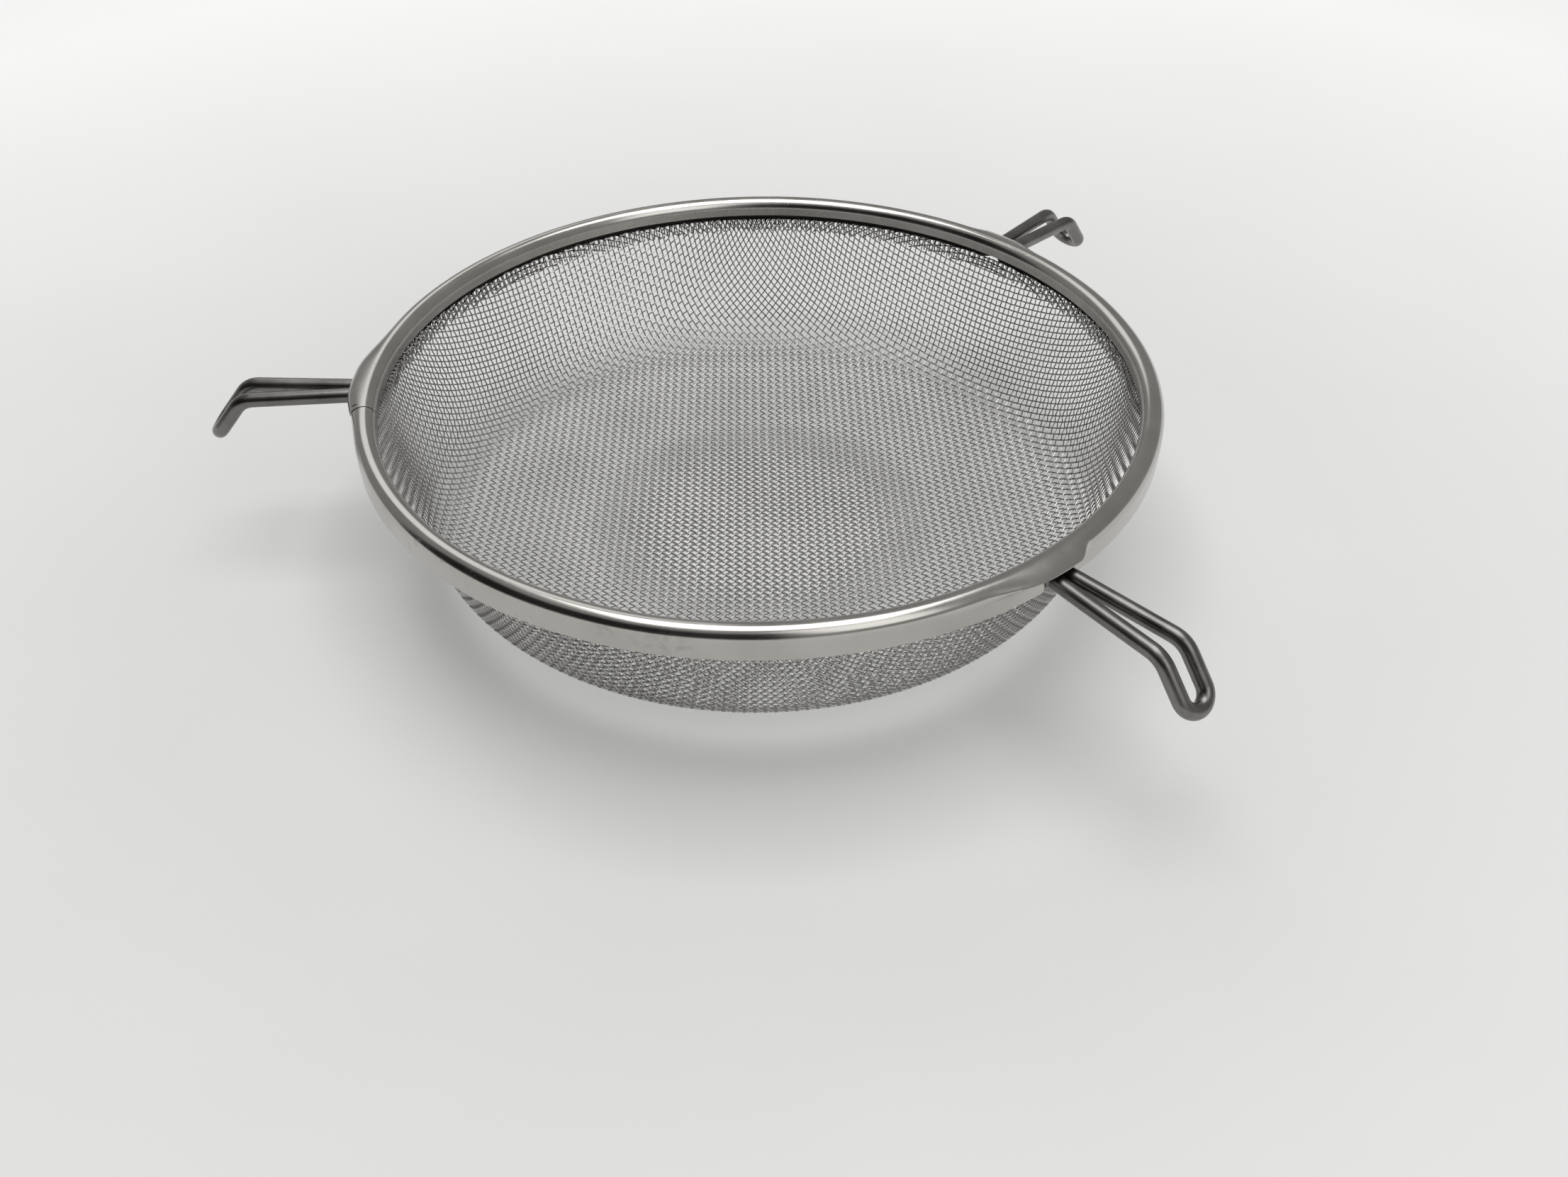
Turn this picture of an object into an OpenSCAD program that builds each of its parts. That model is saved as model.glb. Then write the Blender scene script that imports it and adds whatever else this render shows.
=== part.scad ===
// Round wire-mesh strainer with a rolled steel rim and three hooked wire handles.
// Millimetres, +Z up. The origin is the centre of the flat bottom that the strainer rests on.

/* [Rim] */
// Outside diameter of the rim band
rim_d = 240; // [200:1:300]
// Height of the strainer, from the bottom it rests on to the top of the rim
height = 58; // [50:1:75]
// Width across the rolled bead on top of the band
bead_w = 6.55; // [6.2:0.05:8]
// Depth of the outer skirt below the top of the rim
skirt_h = 8.7; // [7.5:0.1:12]
// Depth of the inner lip below the top of the rim
lip_h = 5.5; // [4.4:0.1:6.5]
// Thickness of the strip the band is rolled from
strip_t = 0.6; // [0.4:0.05:0.8]
// Distance along the rim from the end of the left hood to the seam where the ends of the strip meet
seam_out = 9.5; // [0.4:0.1:30]
// Width of the seam
seam_gap = 0.25; // [0.1:0.05:0.5]

/* [Hoods over the handles] */
// How far a hood flares out past the skirt
hood_out = 2.7; // [1.5:0.1:4]
// How far the edge of a hood lies below the top of the rim
hood_drop = 2.6; // [2:0.1:2.8]
// Length of a hood along the rim
hood_len = 20; // [16:1:30]
// Width of the notch in the skirt that a handle comes out of
notch_w = 11.4; // [11:0.1:15]

/* [Sieve] */
// Thickness of the woven mesh, which is two wires at a crossing
mesh_t = 0.8; // [0.6:0.05:1]
// Slope of the wall, from the vertical
wall_angle = 17.3; // [8:0.1:25]
// Radius of the knuckle between wall and bottom
knuckle_r = 16; // [10:1:24]
// Slope of the bottom where it meets the knuckle
belly_slope = 13; // [9:0.5:18]
// Radius of the flat middle of the bottom
flat_r = 30; // [20:1:45]

/* [Handles] */
// Diameter of the handle wire
wire_d = 4.5; // [3.5:0.1:4.7]
// Azimuth of the left handle
left_az = 180; // [170:1:181]
// Azimuth of the front handle
front_az = 309; // [295:1:320]
// Azimuth of the rear handle
rear_az = 45; // [35:1:60]
// How far the legs run out past the rim before the hook turns down
reach = 35.7; // [25:0.5:60]
// Gap between the two legs where they leave the rim
leg_gap = 0.1; // [0.1:0.05:0.6]
// Half the distance between the legs at the hook
loop_half = 4.5; // [3.5:0.1:8]
// Angle that the hook turns down by
hook_angle = 50; // [35:1:80]
// Length of the hook, from its corner to the middle of the wire at its end
hook_len = 16.3; // [14:0.1:30]
// Bend radius of the hook's corner, to the middle of the wire
hook_bend_r = 7; // [5:0.5:9]
// Bend radius between a leg and its foot inside the rim
foot_bend_r = 3.5; // [3:0.1:3.8]
// Gap between the ends of two feet inside the rim
foot_gap = 2; // [0.5:0.1:6]

/* [Hidden] */
$fn = 96;

// Clearance between pieces that lie against each other
fit = 0.03;
// A straight run of wire is thinner than a bend by this much, and runs this far into it
joint_step = 0.02;
joint_len = 0.2;
// How far a straight step of a curved section may lie off its arc
arc_err = 0.008;
// How far a cutting shape runs past what it cuts
over = 1;
// The edge of the lip lies this far above the middle of the handle wires
lip_over = 0.92;

STEEL_BRIGHT = [0.78, 0.77, 0.74];
STEEL_SATIN = [0.5, 0.5, 0.49];
STEEL_MESH = [0.62, 0.62, 0.61];

// Rim band, as a section in radius and height
rim_r = rim_d / 2;
bead_r = bead_w / 2;
bead_c = [rim_r - bead_r, height - bead_r];
skirt_z = height - skirt_h;
lip_z = height - lip_h;

// Hood, an arc that leaves the top of the bead level
hood_half_turn = atan(hood_drop / (bead_r + hood_out));
hood_turn = 2 * hood_half_turn;
hood_r = (bead_r + hood_out) / sin(hood_turn);
hood_c = [bead_c[0], height - joint_step - hood_r];
hood_az = hood_len / rim_r * 180 / PI;
seam_az = left_az + hood_az / 2 + seam_out / rim_r * 180 / PI;
// The flank of the bead stays on this far past its top, so that the hood grows out of it
flank_keep = 0.8;
// The hood runs on into the bead at each end by this many degrees
joint_turn = joint_len / rim_r * 180 / PI;
// The skirt ends this far below the middle of the bead under a hood
crease_drop = 0.25;

// The handle wires lie in the channel of the rim, against the inside of the skirt, at the edge of the lip
wire_r = wire_d / 2;
hoop_r = rim_r - strip_t - fit - wire_r;
hoop_z = lip_z - lip_over;
hoop_c = [hoop_r, hoop_z];

// The mesh wraps over the hoop of handle wires and runs down inside the lip
wrap_r = wire_r + fit + mesh_t / 2;
wrap_start = 90;
wrap_end = 180 - wall_angle;
wall_in = [-cos(wall_angle), sin(wall_angle)];
wall_top = hoop_c + wrap_r * wall_in;

// The lip is pressed against the inner face of the mesh, where it wraps the wires or where it is wall
wrap_out = wrap_r + mesh_t / 2;
pinch_r = hoop_r - max(wrap_out, (wrap_out - lip_over * sin(wall_angle)) / cos(wall_angle));

// Knuckle centre: rolls between the wall and the arc of the bottom
bottom_z = mesh_t / 2;
belly_dir = [sin(belly_slope), 1 - cos(belly_slope)];
knuckle_from = [flat_r, bottom_z + knuckle_r];
knuckle_run = (knuckle_r - (knuckle_from - wall_top) * wall_in) / (belly_dir * wall_in);
knuckle_c = knuckle_from + knuckle_run * belly_dir;
belly_r = knuckle_run + knuckle_r;
belly_c = [flat_r, bottom_z + belly_r];

// Corner of a leg and its foot, in the frame of one handle with +X outward
leg_half = (wire_d + leg_gap) / 2;
leg_slope = (loop_half - leg_half) / reach;
foot_turn_y = leg_half + foot_bend_r * (1 + 2 * leg_slope);
foot_start = asin(foot_turn_y / hoop_r);
HANDLE_AZ = [left_az, front_az, rear_az + 360];

function unit(v) = v / norm(v);
function polar2(r, a) = r * [cos(a), sin(a)];

// Number of straight steps that keep within arc_err of an arc
function arc_steps(r, turn) = ceil(abs(turn) / (2 * acos(1 - arc_err / r)));

// Points along an arc from angle a to angle b, both ends included
function arc_points(c, r, a, b) = [
    for (i = [0:arc_steps(r, b - a)])
        c + polar2(r, a + (b - a) * i / arc_steps(r, b - a))
];

// Section of the rolled strip: skirt, bead and lip. The lip is pressed against the mesh
module rim_section() {
    polygon(concat(
        [[rim_r, skirt_z]],
        arc_points(bead_c, bead_r, 0, 180),
        [[pinch_r - strip_t, lip_z], [pinch_r, lip_z]],
        arc_points(bead_c, bead_r - strip_t, 180, 0),
        [[rim_r - strip_t, skirt_z]]
    ));
}

// Section of a hood, from the top of the bead outwards
module hood_section() {
    polygon(concat(
        arc_points(hood_c, hood_r, 90, 90 - hood_turn),
        arc_points(hood_c, hood_r - strip_t, 90 - hood_turn, 90)
    ));
}

// What is cut from the plain band for one handle: the flank of the bead and the notch in the skirt
module rim_cuts(az) {
    rotate([0, 0, az - hood_az / 2])
        rotate_extrude(angle = hood_az)
            translate([bead_c[0] + flank_keep, bead_c[1] - crease_drop])
                square([bead_w, bead_w]);
    rotate([0, 0, az])
        translate([hoop_r, -notch_w / 2, skirt_z - over])
            cube([bead_w, notch_w, bead_c[1] - skirt_z + 2 * over]);
}

module rim_band() {
    color(STEEL_BRIGHT)
        difference() {
            union() {
                difference() {
                    rotate_extrude() rim_section();
                    for (az = HANDLE_AZ) rim_cuts(az);
                }
                for (az = HANDLE_AZ)
                    rotate([0, 0, az - hood_az / 2 - joint_turn])
                        rotate_extrude(angle = hood_az + 2 * joint_turn) hood_section();
            }
            rotate([0, 0, seam_az])
                translate([rim_r - bead_w - over, -seam_gap / 2, skirt_z - over])
                    cube([bead_w + 2 * over, seam_gap, skirt_h + 2 * over]);
        }
}

// Section of the mesh: wrap over the hoop, wall, knuckle, curved and flat bottom
module sieve_section() {
    half_t = mesh_t / 2;
    polygon(concat(
        arc_points(hoop_c, wrap_r - half_t, wrap_start, wrap_end),
        arc_points(knuckle_c, knuckle_r + half_t, -wall_angle, belly_slope - 90),
        arc_points(belly_c, belly_r + half_t, belly_slope - 90, -90),
        [[0, 0], [0, mesh_t]],
        arc_points(belly_c, belly_r - half_t, -90, belly_slope - 90),
        arc_points(knuckle_c, knuckle_r - half_t, belly_slope - 90, -wall_angle),
        arc_points(hoop_c, wrap_r + half_t, wrap_end, wrap_start)
    ));
}

module sieve_bowl() {
    color(STEEL_MESH)
        rotate_extrude() sieve_section();
}

// Straight wire between two bends, which it runs a little way into
module wire_run(p, q) {
    v = q - p;
    translate(p - joint_len * unit(v))
        rotate([0, acos(v[2] / norm(v)), atan2(v[1], v[0])])
            cylinder(r = wire_r - joint_step, h = norm(v) + 2 * joint_len);
}

// Bend of radius r at the corner c between a run along u and a run along v
module wire_bend(c, u, v, r) {
    turn = acos(u * v);
    n = unit(cross(u, v));
    x = cross(u, n);
    o = c - r * tan(turn / 2) * u - r * x;
    multmatrix([
        [x[0], u[0], n[0], o[0]],
        [x[1], u[1], n[1], o[1]],
        [x[2], u[2], n[2], o[2]],
        [0, 0, 0, 1]
    ])
        rotate_extrude(angle = turn)
            translate([r, 0]) circle(wire_r);
}

// One half of a handle on its +Y side: foot, leg and hook, up to the turn at the end
module half_handle(foot_stop) {
    foot_u = [sin(foot_start), -cos(foot_start), 0];
    foot_p = [hoop_r * cos(foot_start), hoop_r * sin(foot_start), hoop_z];
    leg_u = unit([1, leg_slope, 0]);
    hook_u = [cos(hook_angle), 0, -sin(hook_angle)];
    // Where the line of the foot crosses the line of the leg
    off_line = foot_p[1] - leg_half - (foot_p[0] - rim_r) * leg_slope;
    foot_corner = foot_p + off_line / (foot_u[0] * leg_slope - foot_u[1]) * foot_u;
    hook_corner = [rim_r + reach, loop_half, hoop_z];
    foot_cut = foot_bend_r * tan(acos(foot_u * leg_u) / 2);
    hook_cut = hook_bend_r * tan(acos(leg_u * hook_u) / 2);
    turn_start = hook_corner + (hook_len - loop_half) * hook_u;

    rotate([0, 0, foot_start])
        rotate_extrude(angle = foot_stop - foot_start)
            translate([hoop_r, hoop_z]) circle(wire_r);
    wire_run(foot_p, foot_corner - foot_cut * foot_u);
    wire_bend(foot_corner, foot_u, leg_u, foot_bend_r);
    wire_run(foot_corner + foot_cut * leg_u, hook_corner - hook_cut * leg_u);
    wire_bend(hook_corner, leg_u, hook_u, hook_bend_r);
    wire_run(hook_corner + hook_cut * hook_u, turn_start);
}

// Half turn at the end of the hook
module hook_turn() {
    hook_u = [cos(hook_angle), 0, -sin(hook_angle)];
    o = [rim_r + reach, 0, hoop_z] + (hook_len - loop_half) * hook_u;
    translate(o)
        rotate([0, hook_angle, 0])
            rotate([0, 0, -90])
                rotate_extrude(angle = 180)
                    translate([loop_half, 0]) circle(wire_r);
}

// Handle number i. Each foot ends half way to the next handle
module handle(i) {
    az = HANDLE_AZ[i];
    ahead = (i == 2 ? HANDLE_AZ[0] + 360 : HANDLE_AZ[i + 1]) - az;
    behind = az - (i == 0 ? HANDLE_AZ[2] - 360 : HANDLE_AZ[i - 1]);
    foot_clear = foot_gap / 2 / hoop_r * 180 / PI;
    color(STEEL_SATIN)
        rotate([0, 0, az]) {
            half_handle(ahead / 2 - foot_clear);
            mirror([0, 1, 0]) half_handle(behind / 2 - foot_clear);
            hook_turn();
        }
}

module handle_left() { handle(0); }
module handle_front() { handle(1); }
module handle_rear() { handle(2); }

rim_band();
sieve_bowl();
handle_left();
handle_front();
handle_rear();
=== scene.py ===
"""The looks of a round wire-mesh strainer: woven bowl, rolled rim and three wire handles, on a pale floor.

Lengths of the strainer are in millimetres, like the CAD, and turn into metres where a mesh is made.
Lengths in the materials and the studio are in metres. Azimuths are in degrees.
"""

from math import acos, asin, cos, pi, radians, sin, sqrt, tan

import bpy
import numpy as np
from mathutils import Matrix, Vector


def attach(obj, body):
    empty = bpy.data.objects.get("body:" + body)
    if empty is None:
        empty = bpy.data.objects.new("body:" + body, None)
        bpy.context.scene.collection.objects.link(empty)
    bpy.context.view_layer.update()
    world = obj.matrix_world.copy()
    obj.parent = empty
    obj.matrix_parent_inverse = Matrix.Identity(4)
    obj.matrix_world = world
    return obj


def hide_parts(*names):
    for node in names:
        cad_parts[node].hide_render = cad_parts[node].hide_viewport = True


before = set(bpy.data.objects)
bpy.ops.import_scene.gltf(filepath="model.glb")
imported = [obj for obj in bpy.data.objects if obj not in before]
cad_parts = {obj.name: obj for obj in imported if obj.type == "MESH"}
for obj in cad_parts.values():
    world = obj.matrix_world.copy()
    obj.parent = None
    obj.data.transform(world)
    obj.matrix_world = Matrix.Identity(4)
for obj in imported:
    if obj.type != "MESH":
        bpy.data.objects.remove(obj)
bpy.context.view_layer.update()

MM = 0.001
SEED = 7
rng = np.random.default_rng(SEED)

# Sizes of the CAD model: the rim
RIM_R = 120.0
HEIGHT = 58.0
BEAD_R = 3.275
SKIRT_Z = HEIGHT - 8.7
LIP_Z = HEIGHT - 5.5
STRIP_T = 0.6
HOOD_OUT = 2.7
NOTCH_W = 11.4
SEAM_AZ = 189.3
# Wider than in the CAD, so that the seam shows
SEAM_GAP = 0.45

# The handles, and the hoop that their feet make inside the rim
HANDLES = {"handle_left": 180.0, "handle_front": 309.0, "handle_rear": 45.0}
WIRE_R = 2.25
# The gap between pieces that touch, and how far the hoop's middle is below the lip's edge
FIT = 0.03
LIP_OVER = 0.92
HOOP_R = RIM_R - STRIP_T - FIT - WIRE_R
HOOP_Z = LIP_Z - LIP_OVER
# How far a handle reaches out, its legs and its loop, and the hook that turns down at its end
REACH = 35.7
LEG_GAP = 0.1
LEG_HALF = (2 * WIRE_R + LEG_GAP) / 2
LOOP_HALF = 4.5
HOOK_ANGLE = radians(50)
HOOK_LEN = 16.3
HOOK_BEND = 7.0
FOOT_BEND = 3.5
# Narrower than in the CAD, so that the floor doesn't shine through between the feet
FOOT_GAP = 0.6
HANDLE_SIDES = 28

# The bowl
MESH_T = 0.8
WALL_ANGLE = radians(17.3)
KNUCKLE_R = 16.0
BELLY_SLOPE = radians(13)
FLAT_R = 30.0

# The weave: pitch and radius of the wires, and how far they swing out at a crossing
PITCH = 2.05
WEAVE_R = 0.245
CRIMP = 0.18
# How far the mesh is raised, so that its lowest wire stays above the floor
WEAVE_RISE = 0.04
# Where the mesh folds over outwards, the radius of the fold, and how far its hem hangs down
FOLD_Z = 50.4
FOLD_R = 0.5
HEM_DROP = 4.0
# Crossings from the centre to the end of the net, samples between two, and sides of a wire
NET_N = 78
STEPS_PER_CELL = 4
WEAVE_SIDES = 6
PIECES_PER_WAY = 4
# The ends of the wires are cut this much short of the hem's edge or past it
CUT_SPREAD = (-0.35, 0.45)


# ---------------------------------------------------------------- mesh helpers

def mesh_object(name, co, faces, material, uv=None, smooth=True):
    """A mesh object from points in mm. faces is a list of index arrays, each with one row per face."""
    mesh = bpy.data.meshes.new(name)
    sizes = np.concatenate([np.full(len(f), f.shape[1]) for f in faces])
    corners = np.concatenate([f.ravel() for f in faces]).astype(np.int32)
    mesh.vertices.add(len(co))
    mesh.vertices.foreach_set("co", (np.asarray(co) * MM).astype(np.float32).ravel())
    mesh.loops.add(len(corners))
    mesh.loops.foreach_set("vertex_index", corners)
    mesh.polygons.add(len(sizes))
    mesh.polygons.foreach_set("loop_start", np.concatenate([[0], np.cumsum(sizes)[:-1]]).astype(np.int32))
    mesh.update(calc_edges=True)
    mesh.validate()
    if smooth:
        mesh.shade_smooth()
    if uv is not None:
        layer = mesh.uv_layers.new(name="OFBake")
        layer.data.foreach_set("uv", np.asarray(uv, np.float32).ravel())
    mesh.materials.append(material)
    obj = bpy.data.objects.new(name, mesh)
    bpy.context.scene.collection.objects.link(obj)
    return obj


def unit(v):
    return v / np.linalg.norm(v, axis=-1, keepdims=True)


def tubes(lines, normals, radius, sides):
    """Points, faces and UVs of round tubes along polylines, with closed ends.

    In the UVs, u runs along a tube and v is the tube's own row, which it fills up to row_fill.
    """
    row_fill = 0.9
    points, quads, caps, uv_quads, uv_caps = [], [], [], [], []
    angles = np.arange(sides) * 2 * pi / sides
    start = 0
    rows = len(lines)
    ring = np.arange(sides)
    for row, (line, normal) in enumerate(zip(lines, normals)):
        n = len(line)
        along = unit(np.gradient(line, axis=0))
        normal = unit(normal - along * (normal * along).sum(1, keepdims=True))
        side = np.cross(along, normal)
        ring_points = line[:, None] + radius * (
            np.cos(angles)[None, :, None] * normal[:, None] + np.sin(angles)[None, :, None] * side[:, None]
        )
        points.append(ring_points.reshape(-1, 3))
        base = start + np.arange(n - 1)[:, None] * sides
        a, b = base + ring, base + (ring + 1) % sides
        quads.append(np.stack([a, b, b + sides, a + sides], -1).reshape(-1, 4))
        u = np.arange(n) / (n - 1)
        v0 = (row + ring / sides * row_fill) / rows
        v1 = (row + (ring + 1) / sides * row_fill) / rows
        u0 = np.broadcast_to(u[:-1, None], (n - 1, sides))
        u1 = np.broadcast_to(u[1:, None], (n - 1, sides))
        low = np.broadcast_to(v0, (n - 1, sides))
        high = np.broadcast_to(v1, (n - 1, sides))
        uv_quads.append(np.stack([u0, low, u0, high, u1, high, u1, low], -1).reshape(-1, 4, 2))
        last = start + (n - 1) * sides
        caps.append(np.stack([start + ring[::-1], last + ring]))
        cap_ends = (np.zeros(sides), np.ones(sides))
        uv_caps.append(np.stack([np.stack([end, v0], -1) for end in cap_ends]))
        start += n * sides
    quads = np.concatenate(quads)
    caps = np.concatenate(caps)
    uv = np.concatenate([np.concatenate(uv_quads).reshape(-1, 2), np.concatenate(uv_caps).reshape(-1, 2)])
    return np.concatenate(points), [quads, caps], uv


def assign(piece, slot, *nodes):
    """Ties a piece to the strainer's body and hides the CAD nodes that it stands for; slot is not used."""
    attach(piece, "root")
    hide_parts(*nodes)


# ---------------------------------------------------------------- materials

class Nodes:
    """A short way to write a node material."""

    def __init__(self, name):
        self.material = bpy.data.materials.new(name)
        self.material.use_nodes = True
        self.tree = self.material.node_tree
        self.bsdf = self.tree.nodes["Principled BSDF"]

    def add(self, kind, inputs=(), **settings):
        node = self.tree.nodes.new(kind)
        for key, value in settings.items():
            setattr(node, key, value)
        for key, value in dict(inputs).items():
            if isinstance(value, bpy.types.NodeSocket):
                self.tree.links.new(value, node.inputs[key])
            else:
                node.inputs[key].default_value = value
        return node

    def noise(self, vector, scale, detail=3.0, roughness=0.55):
        inputs = {"Vector": vector, "Scale": scale, "Detail": detail, "Roughness": roughness}
        return self.add("ShaderNodeTexNoise", inputs).outputs["Fac"]

    def ramp(self, value, low, high, out_low=0.0, out_high=1.0):
        """value from low..high as out_low..out_high, clamped."""
        node = self.add(
            "ShaderNodeMapRange",
            {"Value": value, "From Min": low, "From Max": high, "To Min": out_low, "To Max": out_high},
        )
        return node.outputs["Result"]

    def math(self, operation, a, b=0.0):
        return self.add("ShaderNodeMath", {0: a, 1: b}, operation=operation).outputs[0]

    def length(self, vector):
        return self.add("ShaderNodeVectorMath", {0: vector}, operation="LENGTH").outputs["Value"]

    def split(self, vector):
        """The three parts of a vector."""
        return self.add("ShaderNodeSeparateXYZ", {0: vector}).outputs

    def mix(self, factor, a, b):
        node = self.add("ShaderNodeMix", data_type="RGBA")
        for key, value in ((0, factor), (6, a), (7, b)):
            if isinstance(value, bpy.types.NodeSocket):
                self.tree.links.new(value, node.inputs[key])
            else:
                node.inputs[key].default_value = value
        return node.outputs[2]

    def stretch(self, vector, scale):
        return self.add("ShaderNodeMapping", {"Vector": vector, "Scale": scale}).outputs[0]

    def position(self):
        return self.add("ShaderNodeTexCoord").outputs["Object"]

    def around(self, vector):
        """Position as (distance along the rim, radius, height), in metres, for marks along the rim."""
        x, y, z = self.split(vector)
        squares = self.math("ADD", self.math("MULTIPLY", x, x), self.math("MULTIPLY", y, y))
        radius = self.math("SQRT", squares)
        along = self.math("MULTIPLY", self.math("ARCTAN2", y, x), RIM_R * MM)
        return self.add("ShaderNodeCombineXYZ", {0: along, 1: radius, 2: z}).outputs[0]

    def near(self, strip, azimuth, radius, height, scale):
        """Distance, in metres, from a mark on the rim; scale below 1 stretches the mark that way."""
        turn = (azimuth + 180) % 360 - 180
        mark = (radians(turn) * RIM_R * MM, radius * MM, height * MM)
        away_from = self.add("ShaderNodeVectorMath", {0: strip, 1: mark}, operation="SUBTRACT").outputs[0]
        scaled = self.add("ShaderNodeVectorMath", {0: away_from, 1: scale}, operation="MULTIPLY").outputs[0]
        return self.length(scaled)

    def channel_shade_mask(self, strip, inner_r):
        """1 outside inner_r in the rim's channel and in its hollow bead, 0 on the strip's outer faces: the
        mask for painted shade.
        """
        _, radius, height = self.split(strip)
        outside_lip = self.math("GREATER_THAN", radius, inner_r * MM)
        inside_skirt = self.math("LESS_THAN", radius, (RIM_R - STRIP_T / 2) * MM)
        under_bead = self.math("LESS_THAN", height, (HEIGHT - BEAD_R) * MM)
        channel = self.math("MULTIPLY", self.math("MULTIPLY", outside_lip, inside_skirt), under_bead)
        across = self.math("SUBTRACT", radius, (RIM_R - BEAD_R) * MM)
        above = self.math("SUBTRACT", height, (HEIGHT - BEAD_R) * MM)
        from_core = self.length(self.add("ShaderNodeCombineXYZ", {0: across, 1: above}).outputs[0])
        in_bead = self.math("LESS_THAN", from_core, (BEAD_R - STRIP_T / 2) * MM)
        return self.math("MAXIMUM", channel, in_bead)

    def bump(self, height, distance, strength=1.0):
        inputs = {"Height": height, "Distance": distance, "Strength": strength}
        return self.add("ShaderNodeBump", inputs).outputs[0]

    def set(self, **inputs):
        names = {"color": "Base Color", "metallic": "Metallic", "roughness": "Roughness", "normal": "Normal"}
        for key, value in inputs.items():
            socket = self.bsdf.inputs[names[key]]
            if isinstance(value, bpy.types.NodeSocket):
                self.tree.links.new(value, socket)
            else:
                socket.default_value = value
        return self.material


# Painted shade for the inside of the rim's channel and its hollow bead, where the rim hides the light
PAINTED_SHADE = (0.02, 0.018, 0.016, 1)
# Marks on the rim that the photo shows: azimuth, radius, height and stretch, as Nodes.near takes them,
# and then how far from its middle, in metres, a mark starts to fade and where it ends
RUBBED = ((258.5, RIM_R, SKIRT_Z + 4.0, (0.45, 1, 1)), 0.002, 0.0045)
STAINED = ((251.0, RIM_R, SKIRT_Z + 5.0, (0.6, 1, 1)), 0.001, 0.003)
# The nick by the seam is a black spot of painted shade.
NICK_SHADE = ((SEAM_AZ - 1.1, RIM_R - 0.6, HEIGHT - 0.8, (2.4, 1, 1)), 0.0007, 0.0010)


def polished_rim_steel():
    """Bright rolled strip: faint lines along it, smudges, scuffs, the photo's marks with a nick in painted
    shade, and painted shade in its channel.
    """
    m = Nodes("rim_polished_steel")
    spot = m.position()
    strip = m.around(spot)
    lines = m.noise(m.stretch(strip, (8, 2600, 2600)), 1.0, 4.0, 0.7)
    smudge = m.noise(spot, 55, 4.0, 0.6)
    scuff = m.ramp(m.noise(spot, 230, 5.0, 0.72), 0.60, 0.70)
    patch = m.ramp(m.noise(spot, 24, 2.0), 0.52, 0.62)
    scuffs = m.math("MULTIPLY", scuff, patch)
    rubbed, stained, nick_shade = (
        m.ramp(m.near(strip, *mark), fades, ends, 1.0, 0.0) for mark, fades, ends in (RUBBED, STAINED, NICK_SHADE)
    )
    mottle = m.ramp(m.noise(spot, 420, 4.0, 0.65), 0.44, 0.60)
    smear = m.math("MULTIPLY", m.math("MAXIMUM", rubbed, stained), mottle)
    color = m.mix(m.ramp(smudge, 0.3, 0.7), (0.455, 0.44, 0.412, 1), (0.525, 0.51, 0.485, 1))
    color = m.mix(m.math("MULTIPLY", scuffs, 0.5), color, (0.30, 0.27, 0.24, 1))
    color = m.mix(m.math("MULTIPLY", smear, 0.35), color, (0.28, 0.25, 0.21, 1))
    # Painted shade: the nick is painted black.
    color = m.mix(nick_shade, color, (0.02, 0.02, 0.02, 1))
    # Painted shade in the channel and the hollow bead: near black, rough and not metallic.
    channel = m.channel_shade_mask(strip, RIM_R - 2 * BEAD_R + STRIP_T / 2)
    color = m.mix(channel, color, PAINTED_SHADE)
    rough = m.math("ADD", m.ramp(smudge, 0.3, 0.7, 0.18, 0.25), m.math("MULTIPLY", scuffs, 0.2))
    rough = m.math("ADD", rough, m.math("MULTIPLY", channel, 0.6))
    height = m.math("ADD", lines, m.math("MULTIPLY", scuffs, -0.6))
    metal = m.math("SUBTRACT", 1.0, channel)
    return m.set(color=color, metallic=metal, roughness=rough, normal=m.bump(height, 0.000012))


def woven_wire_steel(name, dull, bright, rough_low, rough_high):
    """Drawn wire, lighter and darker in stretches, with fine draw marks, and painted shade on the hem in the
    rim.
    """
    m = Nodes(name)
    spot = m.position()
    broad = m.noise(spot, 38, 3.0)
    fine = m.noise(spot, 900, 3.0, 0.6)
    stain = dull * 0.75
    dull_color = (dull, dull * 0.99, dull * 0.96, 1)
    bright_color = (bright, bright * 0.988, bright * 0.96, 1)
    color = m.mix(m.ramp(broad, 0.3, 0.7), dull_color, bright_color)
    color = m.mix(m.ramp(fine, 0.35, 0.75, 0.0, 0.4), color, (stain, stain * 0.98, stain * 0.95, 1))
    # Painted shade on the hem that hangs outside the wall: grey below the skirt's edge, near black above it,
    # where the rim hides the light.
    _, radius, height = m.split(m.around(spot))
    hem_r = WALL_TOP_R - FOLD_Z * tan(WALL_ANGLE) + 1.1 * FOLD_R
    slope = m.math("MULTIPLY", height, tan(WALL_ANGLE))
    beyond_wall = m.math("SUBTRACT", m.math("SUBTRACT", radius, hem_r * MM), slope)
    above_hem_edge = m.math("GREATER_THAN", height, (FOLD_Z - HEM_DROP - 1) * MM)
    hem = m.math("MULTIPLY", m.math("GREATER_THAN", beyond_wall, 0.0), above_hem_edge)
    skirt_shade = m.ramp(height, (SKIRT_Z - 0.6) * MM, SKIRT_Z * MM)
    hem_shade_color = m.mix(skirt_shade, (0.24, 0.235, 0.225, 1), (0.06, 0.055, 0.05, 1))
    color = m.mix(hem, color, hem_shade_color)
    rough = m.ramp(fine, 0.3, 0.7, rough_low, rough_high)
    return m.set(color=color, metallic=1.0, roughness=rough, normal=m.bump(fine, 0.00001))


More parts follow.
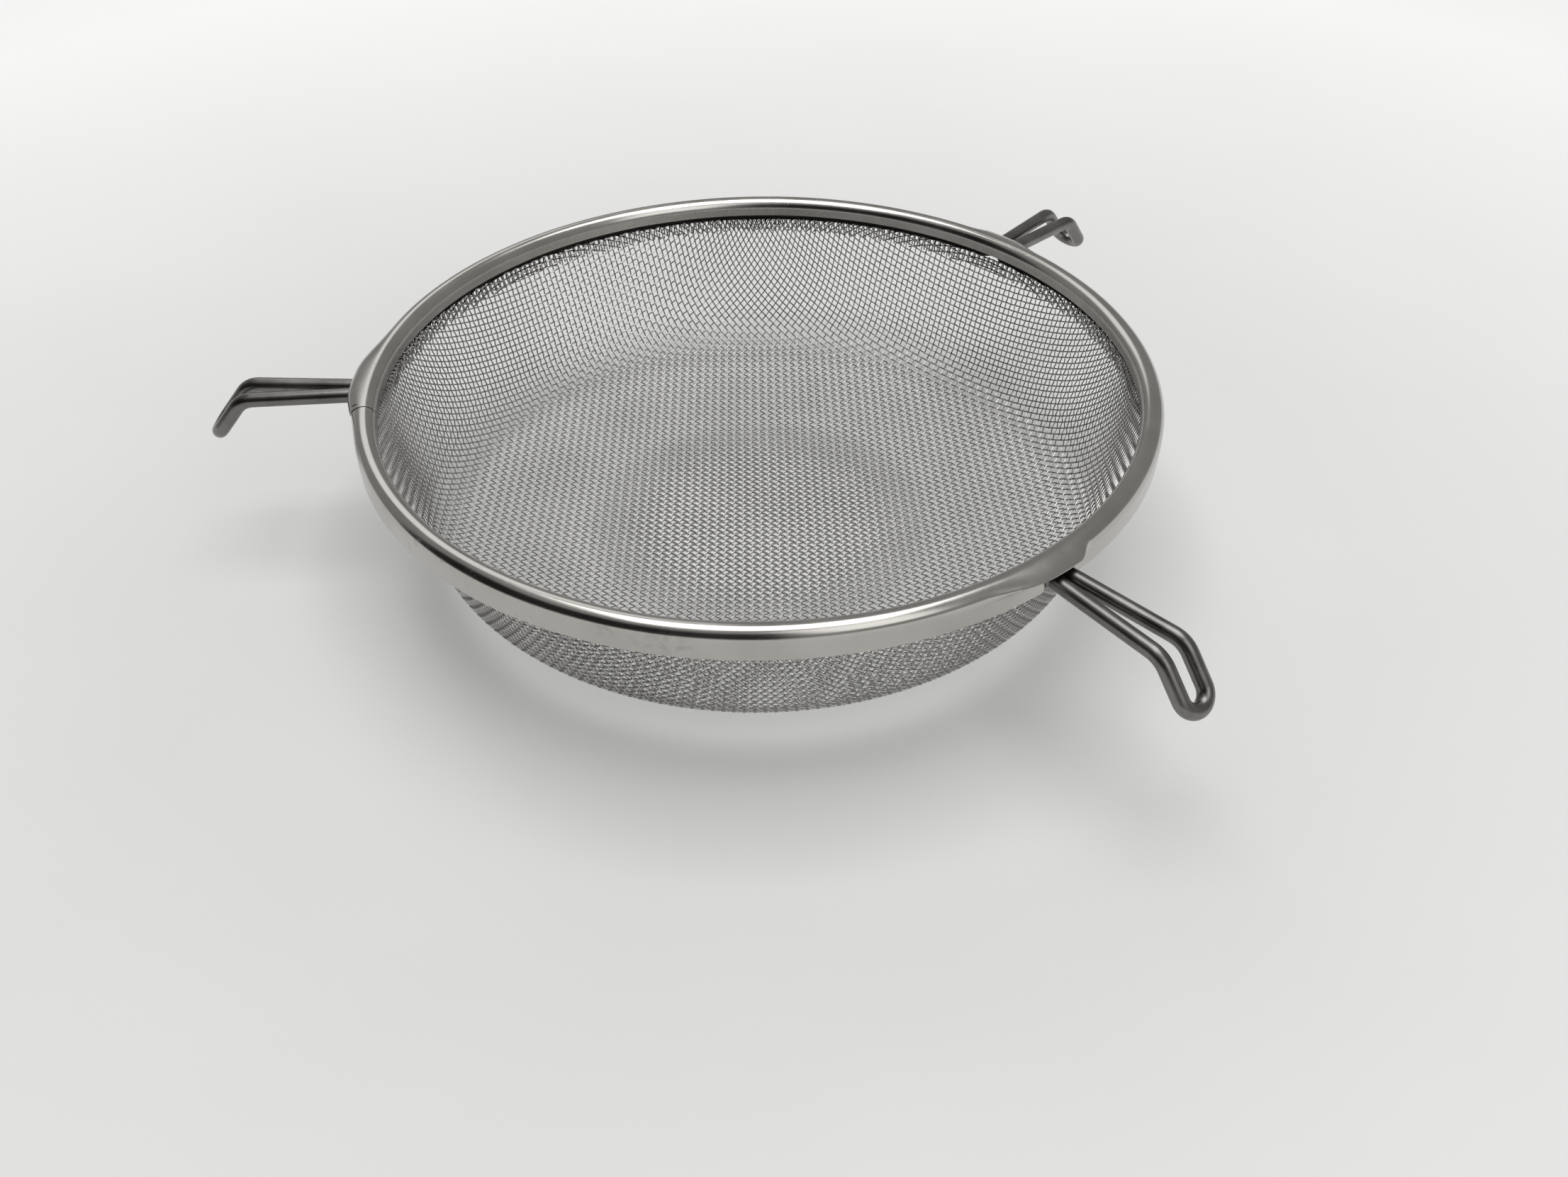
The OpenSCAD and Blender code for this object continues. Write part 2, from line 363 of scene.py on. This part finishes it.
def satin_handle_steel():
    """Satin drawn wire, darker than the rim, with small dull spots, and painted shade on its feet in the
    rim's channel.
    """
    m = Nodes("handle_satin_steel")
    spot = m.position()
    grain = m.noise(m.stretch(spot, (700, 700, 2400)), 1.0, 4.0, 0.65)
    broad = m.noise(spot, 90, 4.0, 0.6)
    spots = m.ramp(m.noise(spot, 520, 3.0, 0.6), 0.64, 0.72)
    color = m.mix(m.ramp(broad, 0.3, 0.7), (0.155, 0.151, 0.145, 1), (0.25, 0.244, 0.235, 1))
    color = m.mix(m.math("MULTIPLY", spots, 0.4), color, (0.13, 0.124, 0.118, 1))
    # Painted shade on the feet inside the rim's channel: near black, rough and not metallic.
    channel = m.channel_shade_mask(m.around(spot), 0.0)
    color = m.mix(channel, color, PAINTED_SHADE)
    rough = m.math("ADD", m.ramp(broad, 0.3, 0.7, 0.27, 0.36), m.math("MULTIPLY", spots, 0.12))
    rough = m.math("ADD", rough, m.math("MULTIPLY", channel, 0.5))
    metal = m.math("SUBTRACT", 1.0, channel)
    return m.set(color=color, metallic=metal, roughness=rough, normal=m.bump(grain, 0.00002))


# ---------------------------------------------------------------- woven bowl

def bowl_profile(folded):
    """The mesh's section, from the centre outwards: arc lengths, radii, heights, and where the wall ends.

    Past the wall the mesh folds over and hangs down outside as a hem, or it runs straight on, which is how
    the net of crossings is laid out.
    """
    arc_points, fold_points, even_points = 60, 16, 6000
    hem_run, wall_run = 20, 25
    wrap_r = WIRE_R + FIT + MESH_T / 2
    mid_z = MESH_T / 2 + WEAVE_RISE
    wall_in = np.array((-cos(WALL_ANGLE), sin(WALL_ANGLE)))
    wall_up = np.array((sin(WALL_ANGLE), cos(WALL_ANGLE)))
    by_hoop = np.array((HOOP_R, HOOP_Z)) + wrap_r * wall_in
    wall_top = by_hoop - (by_hoop[1] - FOLD_Z) / wall_up[1] * wall_up
    belly_dir = np.array((sin(BELLY_SLOPE), 1 - cos(BELLY_SLOPE)))
    knuckle_from = np.array((FLAT_R, mid_z + KNUCKLE_R))
    run = (KNUCKLE_R - (knuckle_from - wall_top) @ wall_in) / (belly_dir @ wall_in)
    knuckle_c = knuckle_from + run * belly_dir
    belly_r = run + KNUCKLE_R
    belly_c = np.array((FLAT_R, mid_z + belly_r))
    belly_turns = np.linspace(0, BELLY_SLOPE, arc_points)
    belly = [belly_c + belly_r * np.array((sin(a), -cos(a))) for a in belly_turns]
    knuckle_turns = np.linspace(BELLY_SLOPE, pi / 2 - WALL_ANGLE, arc_points)[1:]
    knuckle = [knuckle_c + KNUCKLE_R * np.array((sin(a), -cos(a))) for a in knuckle_turns]
    points = [np.array((0, mid_z))] + belly + knuckle + [wall_top]
    if folded:
        centre = wall_top - FOLD_R * wall_in
        fold_turns = np.linspace(0, pi, fold_points)[1:]
        points += [centre + FOLD_R * (cos(a) * wall_in + sin(a) * wall_up) for a in fold_turns]
        points.append(points[-1] - hem_run * wall_up)
    else:
        points.append(wall_top + wall_run * wall_up)
    points = np.array(points)
    length = np.concatenate([[0], np.cumsum(np.linalg.norm(np.diff(points, axis=0), axis=1))])
    wall_end = length[len(belly) + len(knuckle) + 1]
    even = np.linspace(0, length[-1], even_points)
    return even, np.interp(even, length, points[:, 0]), np.interp(even, length, points[:, 1]), wall_end


# The section that the net is laid out on, and the one that its wires follow
LAY_S, LAY_R, LAY_Z, WALL_END = bowl_profile(False)
BOWL_S, BOWL_R, BOWL_Z, _ = bowl_profile(True)
WALL_TOP_R = float(np.interp(WALL_END, LAY_S, LAY_R))


def lay(s, t):
    """Point at arc length s and azimuth t on the bowl whose wall runs straight on."""
    r = np.interp(s, LAY_S, LAY_R)
    return np.stack([r * np.cos(t), r * np.sin(t), np.interp(s, LAY_S, LAY_Z)], -1)


def net_quarter():
    """Crossings of a flat square weave pressed into the bowl: each lies one pitch from the two before it.

    Newton's method finds them one diagonal at a time. Those it can't find, past the bowl's edge, are NaN.
    """
    step, rounds, close_enough, smallest_det = 1e-4, 12, 1e-2, 1e-9
    most_u, most_v = 1, 0.05
    s = np.full((NET_N + 1, NET_N + 1), np.nan)
    t = np.full((NET_N + 1, NET_N + 1), np.nan)
    k = np.arange(NET_N + 1)
    s[:, 0], t[:, 0], s[0, :], t[0, :] = k * PITCH, 0, k * PITCH, pi / 2
    for diagonal in range(2, 2 * NET_N + 1):
        i = np.arange(max(1, diagonal - NET_N), min(NET_N, diagonal - 1) + 1)
        j = diagonal - i
        a, b = lay(s[i - 1, j], t[i - 1, j]), lay(s[i, j - 1], t[i, j - 1])
        guess = a + b - lay(s[i - 1, j - 1], t[i - 1, j - 1])
        known = ~np.isnan(guess[:, 0])
        u = s[i - 1, j] + s[i, j - 1] - s[i - 1, j - 1]
        v = np.arctan2(guess[:, 1], guess[:, 0])
        for _ in range(rounds):
            x = lay(u, v)
            x_u = (lay(u + step, v) - lay(u - step, v)) / (2 * step)
            x_v = (lay(u, v + step) - lay(u, v - step)) / (2 * step)
            f = ((x - a) ** 2).sum(1) - PITCH**2
            g = ((x - b) ** 2).sum(1) - PITCH**2
            f_u, f_v = 2 * ((x - a) * x_u).sum(1), 2 * ((x - a) * x_v).sum(1)
            g_u, g_v = 2 * ((x - b) * x_u).sum(1), 2 * ((x - b) * x_v).sum(1)
            det = f_u * g_v - f_v * g_u
            det = np.where(abs(det) < smallest_det, smallest_det, det)
            u = u - np.clip((f * g_v - f_v * g) / det, -most_u, most_u)
            v = v - np.clip((f_u * g - f * g_u) / det, -most_v, most_v)
        wrong = ~known | (np.maximum(abs(f), abs(g)) > close_enough) | (u > LAY_S[-1])
        s[i, j], t[i, j] = np.where(wrong, np.nan, u), np.where(wrong, np.nan, v)
    return lay(s, t)


def net():
    """The whole net in plan, with its wires at 45 degrees to the X axis, and NaN where the bowl ends."""
    quarter = net_quarter()[..., :2]
    size = 2 * NET_N + 1
    whole = np.full((size, size, 2), np.nan)
    steps = np.arange(NET_N + 1)
    for side_i in (1, -1):
        for side_j in (1, -1):
            cells = np.ix_(NET_N + side_i * steps, NET_N + side_j * steps)
            whole[cells] = quarter * (side_i, side_j)
    c = sqrt(0.5)
    return whole @ np.array(((c, c), (-c, c)))


def smooth_line(points, steps):
    """Catmull-Rom curve through points, with steps samples per stretch."""
    ends = np.concatenate([[2 * points[0] - points[1]], points, [2 * points[-1] - points[-2]]])
    t = (np.arange(steps) / steps)[None, :, None]
    p0, p1, p2, p3 = (ends[k : k + len(points) - 1][:, None] for k in range(4))
    square = (2 * p0 - 5 * p1 + 4 * p2 - p3) * t**2
    cube = (3 * p1 - p0 - 3 * p2 + p3) * t**3
    curve = 0.5 * (2 * p1 + (p2 - p0) * t + square + cube)
    return np.concatenate([curve.reshape(-1, points.shape[1]), points[-1:]])


def arc_length(plan):
    """How far along the mesh, from its centre, points of the laid-out net lie, from their places in plan."""
    return np.interp(np.hypot(plan[:, 0], plan[:, 1]), LAY_R, LAY_S)


def on_bowl(plan, s):
    """Points of the mesh, and their normals on its inner side, from places in plan and their arc lengths."""
    r = np.hypot(plan[:, 0], plan[:, 1])
    out = plan / np.maximum(r, 1e-9)[:, None]
    half_step = 0.05
    after, before = s + half_step, s - half_step
    dr = np.interp(after, BOWL_S, BOWL_R) - np.interp(before, BOWL_S, BOWL_R)
    dz = np.interp(after, BOWL_S, BOWL_Z) - np.interp(before, BOWL_S, BOWL_Z)
    z = np.interp(s, BOWL_S, BOWL_Z)
    points = np.concatenate([out * np.interp(s, BOWL_S, BOWL_R)[:, None], z[:, None]], 1)
    normals = unit(np.concatenate([-out * dz[:, None], dr[:, None]], 1))
    return points, normals


def woven_wires(crossings, way, end_s):
    """Lines and normals of the wires that run one way: over and under the others, cut off near end_s."""
    fewest_crossings, fewest_cells = 4, 3
    lines, normals = [], []
    for k in range(crossings.shape[0]):
        row = crossings[:, k] if way > 0 else crossings[k, :]
        good = np.flatnonzero(~np.isnan(row[:, 0]))
        if len(good) < fewest_crossings:
            continue
        first, last = good[0], good[-1]
        plan = smooth_line(row[first : last + 1], STEPS_PER_CELL)
        index = first + np.arange(len(plan)) / STEPS_PER_CELL
        s = arc_length(plan)
        for_start, for_end = end_s + rng.uniform(*CUT_SPREAD, 2)
        keep = np.where(np.arange(len(s)) < np.argmin(s), s <= for_start, s <= for_end)
        if keep.sum() < fewest_cells * STEPS_PER_CELL:
            continue
        points, normal = on_bowl(plan[keep], s[keep])
        wave = way * CRIMP * np.cos(pi * (index[keep] + k))
        lines.append(points + normal * wave[:, None])
        normals.append(normal)
    return lines, normals


def weave(warp_material, weft_material):
    """The mesh, in several pieces for each way of the weave, with about as many points in each."""
    crossings = net()
    end_s = WALL_END + pi * FOLD_R + HEM_DROP
    for way, name, material in ((1, "mesh_warp", warp_material), (-1, "mesh_weft", weft_material)):
        lines, normals = woven_wires(crossings, way, end_s)
        share = np.cumsum([len(line) for line in lines])
        part = np.minimum((share - 1) * PIECES_PER_WAY // share[-1], PIECES_PER_WAY - 1)
        for p in range(PIECES_PER_WAY):
            mine = [i for i in range(len(lines)) if part[i] == p]
            co, faces, uv = tubes([lines[i] for i in mine], [normals[i] for i in mine], WEAVE_R, WEAVE_SIDES)
            piece = mesh_object(f"{name}_{p + 1}", co, faces, material, uv)
            assign(piece, "mesh_steel", "sieve_bowl")


# ---------------------------------------------------------------- rim

# Angles round the bead, from straight out: a hood's edge, the start of the even steps, and the bulge's end
HOOD_EDGE = radians(12)
BEAD_START = radians(18)
BULGE_END = radians(84)
# How far a hood lifts the bead, and how far inside its notch's ends its bulge starts to run out
HOOD_LIFT = 0.15
HOOD_INSET = 1.0
# Lengths over which a hood runs out along the rim, towards lower azimuths and towards higher ones
HOOD_TAPERS = {"handle_left": (24.0, 25.0), "handle_front": (21.0, 8.0), "handle_rear": (15.0, 8.0)}
# Past the seam the left hood's bulge is only this share of itself, over this many degrees
PAST_SEAM = 0.6
PAST_SEAM_SPAN = 20
WAVE_SIZE = 0.6
EDGE_BEVEL = 0.14


def ease(x):
    """0 below 0, 1 above 1, and a smooth S between."""
    x = np.clip(x, 0, 1)
    return x * x * (3 - 2 * x)


def rim_azimuths():
    """Azimuths once round from one side of the seam to the other, closer together at the handles."""
    even_count, fine_span, fine_step, end_margin = 361, 11, 0.25, 0.3
    half_gap = np.degrees(SEAM_GAP / 2 / RIM_R)
    start, stop = SEAM_AZ + half_gap, SEAM_AZ + 360 - half_gap
    azimuths = set(np.round(np.linspace(start, stop, even_count), 5))
    centres = [az + turn for az in HANDLES.values() for turn in (0, 360)]
    for centre in centres:
        for d in np.arange(-fine_span, fine_span + 0.01, fine_step):
            if start + end_margin < centre + d < stop - end_margin:
                azimuths.add(round(centre + d, 5))
    azimuths = np.array(sorted(azimuths))
    notch_half = np.degrees(NOTCH_W / 2 / RIM_R)
    for centre in centres:
        for edge in (centre - notch_half, centre + notch_half):
            if start < edge < stop:
                azimuths[np.argmin(abs(azimuths - edge))] = edge
    return azimuths


def rim_section():
    """The strip's outer face, from the skirt's edge over the bead to the lip's edge.

    A row is radius, height, share of a hood's bulge, and 0 in the skirt, where notches are, or 1 above it.
    """
    skirt_rows, bead_rows, lip_rows = 7, 34, 4
    bead_c = np.array((RIM_R - BEAD_R, HEIGHT - BEAD_R))
    rows = [(RIM_R, z, 0.0, 0) for z in np.linspace(SKIRT_Z, bead_c[1] - 0.9, skirt_rows)]
    for below_bead, share in ((0.45, 0.12), (0.0, 0.62)):
        rows.append((RIM_R, bead_c[1] - below_bead, share, 0))
    for a in np.concatenate([[HOOD_EDGE], np.linspace(BEAD_START, pi, bead_rows)]):
        share = ease((BULGE_END - a) / (BULGE_END - HOOD_EDGE))
        rows.append((bead_c[0] + BEAD_R * cos(a), bead_c[1] + BEAD_R * sin(a), share, 1))
    inside_r = RIM_R - 2 * BEAD_R
    lip_r = HOOP_R - (WIRE_R + FIT + MESH_T) - STRIP_T
    for k in np.linspace(1 / lip_rows, 1, lip_rows):
        rows.append((inside_r + (lip_r - inside_r) * k, bead_c[1] + (LIP_Z - bead_c[1]) * k, 0.0, 1))
    return np.array(rows)


def hoods(azimuths):
    """Distance along the rim to the nearest handle, and the share of a hood's bulge, at each azimuth."""
    offset = np.full(len(azimuths), np.inf)
    bulge = np.zeros(len(azimuths))
    for name, az in HANDLES.items():
        for turn in (0, 360):
            beside = np.radians(azimuths - az - turn) * RIM_R
            taper = np.where(beside < 0, *HOOD_TAPERS[name])
            offset = np.minimum(offset, abs(beside))
            bulge = np.maximum(bulge, 1 - ease((abs(beside) - NOTCH_W / 2 + HOOD_INSET) / taper))
    bulge[azimuths < SEAM_AZ + PAST_SEAM_SPAN] *= PAST_SEAM
    return offset, bulge


def waves(turn):
    """Slight waves of the rolled rim, outwards and upwards, at angles round it."""
    outwards = 0.05 * np.sin(5 * turn + 1.0) + 0.035 * np.sin(11 * turn + 2.3) + 0.02 * np.sin(23 * turn)
    upwards = 0.05 * np.sin(3 * turn + 0.4) + 0.03 * np.sin(9 * turn + 1.9)
    return WAVE_SIZE * outwards, WAVE_SIZE * upwards


def shell_faces(keep):
    """Faces of a thick shell over the kept cells of a grid: outer side, inner side, and walls at open edges.

    The inner side's points are numbered like the outer side's, after them.
    """
    index = np.arange((keep.shape[0] + 1) * (keep.shape[1] + 1)).reshape(keep.shape[0] + 1, -1)
    shift = index.size
    a, b, c, d = index[:-1, :-1], index[1:, :-1], index[1:, 1:], index[:-1, 1:]
    faces = [np.stack([a, b, c, d], -1)[keep], np.stack([d, c, b, a], -1)[keep] + shift]
    padded = np.pad(keep, 1)
    sides = (
        (b, a, padded[1:-1, :-2]),
        (c, b, padded[2:, 1:-1]),
        (d, c, padded[1:-1, 2:]),
        (a, d, padded[:-2, 1:-1]),
    )
    for edge_from, edge_to, neighbour in sides:
        is_open = keep & ~neighbour
        p, q = edge_from[is_open], edge_to[is_open]
        faces.append(np.stack([p, q, q + shift, p + shift], -1))
    return np.concatenate(faces)


def rim(material):
    """The rolled strip, as a shell as thick as the strip, with a notch in the skirt under each hood."""
    section = rim_section()
    azimuths = rim_azimuths()
    offset, bulge = hoods(azimuths)
    turn = np.radians(azimuths)
    wave_out, wave_up = waves(turn)
    pushed = bulge[:, None] * section[None, :, 2]
    r = section[None, :, 0] + pushed * HOOD_OUT + wave_out[:, None]
    z = section[None, :, 1] + wave_up[:, None] + pushed * HOOD_LIFT
    outer = np.stack([r * np.cos(turn)[:, None], r * np.sin(turn)[:, None], z], -1)
    normal = unit(np.cross(np.gradient(outer, axis=0), np.gradient(outer, axis=1)))
    inner = outer - STRIP_T * normal
    in_notch = (offset[:-1] + offset[1:]) / 2 < NOTCH_W / 2
    in_skirt = section[:-1, 3] == 0
    faces = shell_faces(~(in_notch[:, None] & in_skirt[None, :]))
    co = np.concatenate([outer.reshape(-1, 3), inner.reshape(-1, 3)])
    used = np.unique(faces)
    renumber = np.full(len(co), -1)
    renumber[used] = np.arange(len(used))
    piece = mesh_object("rim_strip", co[used], [renumber[faces]], material)
    bevel = piece.modifiers.new("rolled_edges", "BEVEL")
    bevel.width = EDGE_BEVEL * MM
    bevel.segments = 2
    bevel.angle_limit = radians(50)
    bevel.harden_normals = True
    assign(piece, "rim_steel", "rim_band")


# ---------------------------------------------------------------- handles

def rounded(points, radii, step=0.12):
    """Polyline through 3-D corner points with each inner corner rounded to its radius."""
    line = [points[0]]
    for before, corner, after, radius in zip(points, points[1:], points[2:], radii):
        u, v = unit(corner - before), unit(after - corner)
        turn = acos(np.clip(u @ v, -1, 1))
        cut = radius * tan(turn / 2)
        centre_dir = unit(v - u)
        centre = corner + centre_dir * radius / cos(turn / 2)
        start = corner - cut * u
        x = unit(start - centre)
        for a in np.linspace(0, turn, max(3, int(turn / step) + 1)):
            line.append(centre + radius * (cos(a) * x + sin(a) * u))
    line.append(points[-1])
    return line


def half_handle(foot_stop):
    """Line of one half of a handle at azimuth 0, from the end of its foot to the middle of the hook's turn.

    The foot ends at the angle foot_stop round the rim.
    """
    foot_points, turn_points = 40, 16
    slope = (LOOP_HALF - LEG_HALF) / REACH
    foot_start = asin((LEG_HALF + FOOT_BEND * (1 + 2 * slope)) / HOOP_R)
    foot_u = np.array((sin(foot_start), -cos(foot_start), 0))
    foot_p = np.array((HOOP_R * cos(foot_start), HOOP_R * sin(foot_start), HOOP_Z))
    off_line = foot_p[1] - LEG_HALF - (foot_p[0] - RIM_R) * slope
    foot_corner = foot_p + off_line / (foot_u[0] * slope - foot_u[1]) * foot_u
    hook_u = np.array((cos(HOOK_ANGLE), 0, -sin(HOOK_ANGLE)))
    hook_corner = np.array((RIM_R + REACH, LOOP_HALF, HOOP_Z))
    turn_start = hook_corner + (HOOK_LEN - LOOP_HALF) * hook_u
    foot_angles = np.linspace(foot_stop, foot_start, foot_points)[:-1]
    foot = [np.array((HOOP_R * cos(a), HOOP_R * sin(a), HOOP_Z)) for a in foot_angles]
    bends = rounded([foot_p, foot_corner, hook_corner, turn_start], [FOOT_BEND, HOOK_BEND])
    across = np.array((0, 1, 0))
    centre = turn_start - LOOP_HALF * across
    turn_angles = np.linspace(0, pi / 2, turn_points)[1:]
    turn = [centre + LOOP_HALF * (cos(a) * across + sin(a) * hook_u) for a in turn_angles]
    return np.array(foot + bends + turn)


def carried_normals(line):
    """Normals carried along a line without twist."""
    along = unit(np.gradient(line, axis=0))
    normal = np.array((0.0, 0.0, 1.0))
    found = []
    for t in along:
        normal = unit(normal - t * (normal @ t))
        found.append(normal)
    return np.array(found)


def handle(name, az, ahead, behind, material):
    """One handle's wire.

    Its feet run half way to the next handles, which are ahead and behind by those angles in degrees.
    """
    clear = FOOT_GAP / 2 / HOOP_R
    left = half_handle(radians(ahead) / 2 - clear)
    right = half_handle(radians(behind) / 2 - clear) * (1, -1, 1)
    line = np.concatenate([left, right[::-1][1:]])
    c, s = cos(radians(az)), sin(radians(az))
    line = line @ np.array(((c, s, 0), (-s, c, 0), (0, 0, 1)))
    co, faces, uv = tubes([line], [carried_normals(line)], WIRE_R, HANDLE_SIDES)
    assign(mesh_object(name + "_wire", co, faces, material, uv), "handle_steel", name)


def handles(material):
    """The three handles, each with the angles to the next handle on either side."""
    for name, az in HANDLES.items():
        others = [(other - az) % 360 for other in HANDLES.values() if other != az]
        handle(name, az, min(others), 360 - max(others), material)


# ---------------------------------------------------------------- stage, lights and camera

def plane(name, corners, material):
    obj = mesh_object(name, np.array(corners, float) / MM, [np.array([[0, 1, 2, 3]])], material, smooth=False)
    return obj


FLOOR_HALF = 8
# How much the floor glows for the camera near the strainer and far from it, and where that changes: less glow
# near it is painted shade
FLOOR_GLOW = (0.06, 0.33)
FLOOR_FADE = (0.19, 0.60)
WORLD_LEVEL = 0.30
# Each light's name, its azimuth, elevation and distance, its size, and its level
LIGHTS = (
    ("ceiling_light", (90, 86, 1.3), (1.0, 0.95), 2.9),
    ("front_right_light", (300, 44, 1.5), (0.75, 1.1), 1.35),
    ("back_wall_light", (114, 40, 1.6), (0.8, 0.8), 1.0),
)
# The dark card: its azimuths, distance from the axis and height
DARK_AZ = (172, 276)
DARK_R = 1.5
DARK_H = 1.6
# Height that the lights aim at
AIM_Z = 0.05


def shown_ray(m):
    """1 for rays from the camera and for glossy and glass rays, 0 for diffuse ones."""
    path = m.add("ShaderNodeLightPath")
    shown = m.math("MAXIMUM", path.outputs["Is Camera Ray"], path.outputs["Is Glossy Ray"])
    return m.math("MAXIMUM", shown, path.outputs["Is Transmission Ray"])


def floor_material():
    m = Nodes("pale_floor")
    mottle = m.ramp(m.noise(m.position(), 9, 4.0), 0.3, 0.7)
    far = m.ramp(m.length(m.position()), *FLOOR_FADE)
    color = m.mix(mottle, (0.81, 0.81, 0.805, 1), (0.83, 0.83, 0.825, 1))
    m.set(color=color, metallic=0.0, roughness=0.8)
    # Less glow near the strainer: painted shade around it.
    glow = m.math("MULTIPLY", shown_ray(m), m.ramp(far, 0, 1, *FLOOR_GLOW))
    m.tree.links.new(glow, m.bsdf.inputs["Emission Strength"])
    m.bsdf.inputs["Emission Color"].default_value = (1, 1, 1, 1)
    return m.material


def dark_material():
    m = Nodes("dark_flag")
    color = m.mix(m.noise(m.position(), 3), (0.006, 0.006, 0.006, 1), (0.012, 0.011, 0.010, 1))
    return m.set(color=color, metallic=0.0, roughness=0.9)


def away(azimuth, elevation, distance):
    """The point at that distance, in metres, from the strainer's foot in that direction, in degrees."""
    a, e = radians(azimuth), radians(elevation)
    return Vector((cos(e) * cos(a), cos(e) * sin(a), sin(e))) * distance


def studio():
    """A pale floor in a dim room, lit as the rim in the photo reflects it.

    The dark card at the front left makes the black band along the rim. The camera doesn't see the card
    itself.
    """
    card_points, card_foot = 15, 0.01
    ground = [(FLOOR_HALF * x, FLOOR_HALF * y, 0) for x, y in ((-1, -1), (1, -1), (1, 1), (-1, 1))]
    plane("floor", ground, floor_material())
    steps = np.radians(np.linspace(*DARK_AZ, card_points))
    low = [(DARK_R * cos(a), DARK_R * sin(a), card_foot) for a in steps]
    high = [(x, y, DARK_H) for x, y, _ in low]
    k = np.arange(card_points - 1)
    faces = np.stack([k, k + 1, k + 1 + card_points, k + card_points], -1)
    flag = mesh_object("dark_flag", np.array(low + high) / MM, [faces], dark_material())
    flag.visible_camera = False
    world = bpy.data.worlds.new("studio")
    bpy.context.scene.world = world
    world.use_nodes = True
    background = world.node_tree.nodes["Background"]
    background.inputs["Color"].default_value = (1.0, 0.99, 0.975, 1)
    background.inputs["Strength"].default_value = WORLD_LEVEL
    for name, direction, size, level in LIGHTS:
        area_light(name, away(*direction), size, level)


def area_light(name, location, size, level):
    """A soft light whose face looks as bright as level, where 1 is white."""
    light = bpy.data.lights.new(name, "AREA")
    light.shape = "RECTANGLE"
    light.size, light.size_y = size
    light.energy = level * pi * size[0] * size[1]
    obj = bpy.data.objects.new(name, light)
    obj.location = location
    aim = Vector((0, 0, AIM_Z))
    obj.rotation_euler = (aim - location).to_track_quat("-Z", "Y").to_euler()
    bpy.context.scene.collection.objects.link(obj)


def camera():
    """The camera fitted to the photo: it aims near the rim's centre from the front, looking down."""
    distance, elevation = 0.427, radians(31.4)
    pan, tilt, roll = radians(0.86), radians(-9.05), radians(-0.9)
    focal_px, width_px, sensor = 1973.6, 2212, 36.0
    back = Vector((0, -cos(elevation), sin(elevation)))
    ahead = -back
    right = Vector((1, 0, 0))
    up = right.cross(ahead)
    ahead, right = ahead * cos(pan) + right * sin(pan), right * cos(pan) - ahead * sin(pan)
    ahead, up = ahead * cos(tilt) + up * sin(tilt), up * cos(tilt) - ahead * sin(tilt)
    right, up = right * cos(roll) + up * sin(roll), up * cos(roll) - right * sin(roll)
    data = bpy.data.cameras.new("photo_camera")
    data.sensor_width = sensor
    data.lens = focal_px / width_px * sensor
    data.clip_start = 0.01
    obj = bpy.data.objects.new("photo_camera", data)
    rotation = Matrix((right, up, -ahead)).transposed()
    obj.matrix_world = Matrix.Translation(back * distance + Vector((0, 0, HEIGHT * MM))) @ rotation.to_4x4()
    bpy.context.scene.collection.objects.link(obj)
    bpy.context.scene.camera = obj


# Lit and shaded copies of one wire steel: the warp is painted lighter and glossier as painted glints on the
# way of the weave that catches the light, and the weft is painted darker.
painted_glint_wire = woven_wire_steel("mesh_painted_glint_steel", 0.56, 0.70, 0.10, 0.20)
painted_shade_wire = woven_wire_steel("mesh_painted_shade_steel", 0.32, 0.42, 0.18, 0.30)
weave(painted_glint_wire, painted_shade_wire)
rim(polished_rim_steel())
handles(satin_handle_steel())
studio()
camera()
bpy.context.scene.view_settings.view_transform = "Standard"
